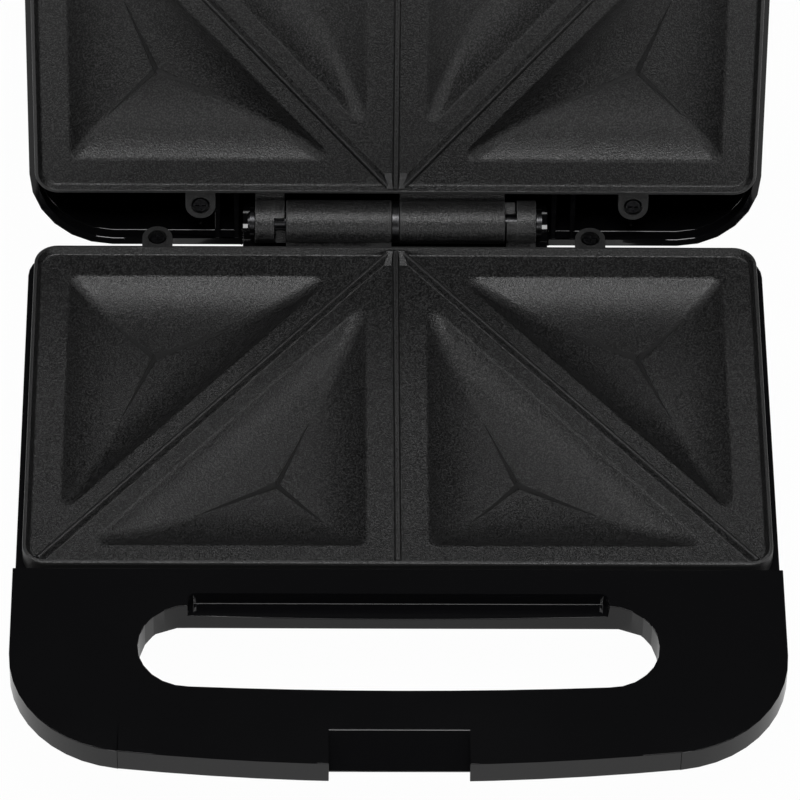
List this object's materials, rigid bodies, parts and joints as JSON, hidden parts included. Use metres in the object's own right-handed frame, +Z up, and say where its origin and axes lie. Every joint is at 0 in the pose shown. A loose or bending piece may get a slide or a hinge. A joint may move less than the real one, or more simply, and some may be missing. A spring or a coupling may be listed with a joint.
{
  "type": "sandwich toaster",
  "caption": "Clamshell sandwich toaster with a hinged lid, cast plates with triangular pockets, loop handles and a pivoting front latch.",
  "frame": {"origin": "on the table, under the middle of the part's bounding box, which is within two millimetres of the middle of the lower plate", "axes": "+Z up, +X to the right, the handles towards -Y and the hinge towards +Y; the lid is shown open on its stop"},
  "size_m": [0.224, 0.2771, 0.2541],
  "materials": {
    "shell_plastic": "polished black moulding",
    "latch_plastic": "polished black moulding",
    "coated_plate": "dark grey non-stick coating with fine pale specks, satin",
    "heater_steel": "drawn tube, dull",
    "reflector_sheet": "rolled sheet",
    "zinc_screw": "zinc plated",
    "black_screw": "blackened",
    "foot_rubber": "matt",
    "bush_rubber": "satin",
    "pin_steel": "ground",
    "ceramic": "matt",
    "thermostat_body": "moulded",
    "fuse_body": "glazed",
    "red_lens": "clear red",
    "green_lens": "clear green",
    "lamp_glass": "clear",
    "holder_plastic": "moulded"
  },
  "bodies": {
    "base": {"base_shell": "shell_plastic", "lower_plate": "coated_plate", "lower_heater": "heater_steel", "lower_heater_ends": "ceramic", "lower_reflector": "reflector_sheet", "lower_reflector_screws": "zinc_screw", "lower_plate_screws": "black_screw", "base_feet": "foot_rubber", "terminal_block": "ceramic", "terminal_screws": "zinc_screw", "cord_bush": "bush_rubber", "hinge_pin": "pin_steel", "hinge_pin_cap": "pin_steel", "hinge_spacer": "pin_steel"},
    "lid": {"lid_shell": "shell_plastic", "upper_plate": "coated_plate", "upper_heater": "heater_steel", "upper_heater_ends": "ceramic", "upper_reflector": "reflector_sheet", "upper_reflector_screws": "zinc_screw", "upper_plate_screws": "black_screw", "thermostat": "thermostat_body", "thermostat_screw": "zinc_screw", "thermal_fuse": "fuse_body", "fuse_clip": "pin_steel", "power_lens": "red_lens", "ready_lens": "green_lens", "power_lamp": "lamp_glass", "ready_lamp": "lamp_glass", "lamp_holder": "holder_plastic", "latch_pin": "pin_steel"},
    "latch": {"latch_clip": "latch_plastic"}
  },
  "joints": [
    {"name": "lid_hinge", "type": "hinge", "parent": "base", "child": "lid", "pos_m": [0, 0.0728, 0.042], "axis": [1, 0, 0], "range_deg": [0, 105]},
    {"name": "latch_pivot", "type": "hinge", "parent": "lid", "child": "latch", "pos_m": [0, 0.13022, 0.23698], "axis": [1, 0, 0], "range_deg": [0, 50]}
  ]
}
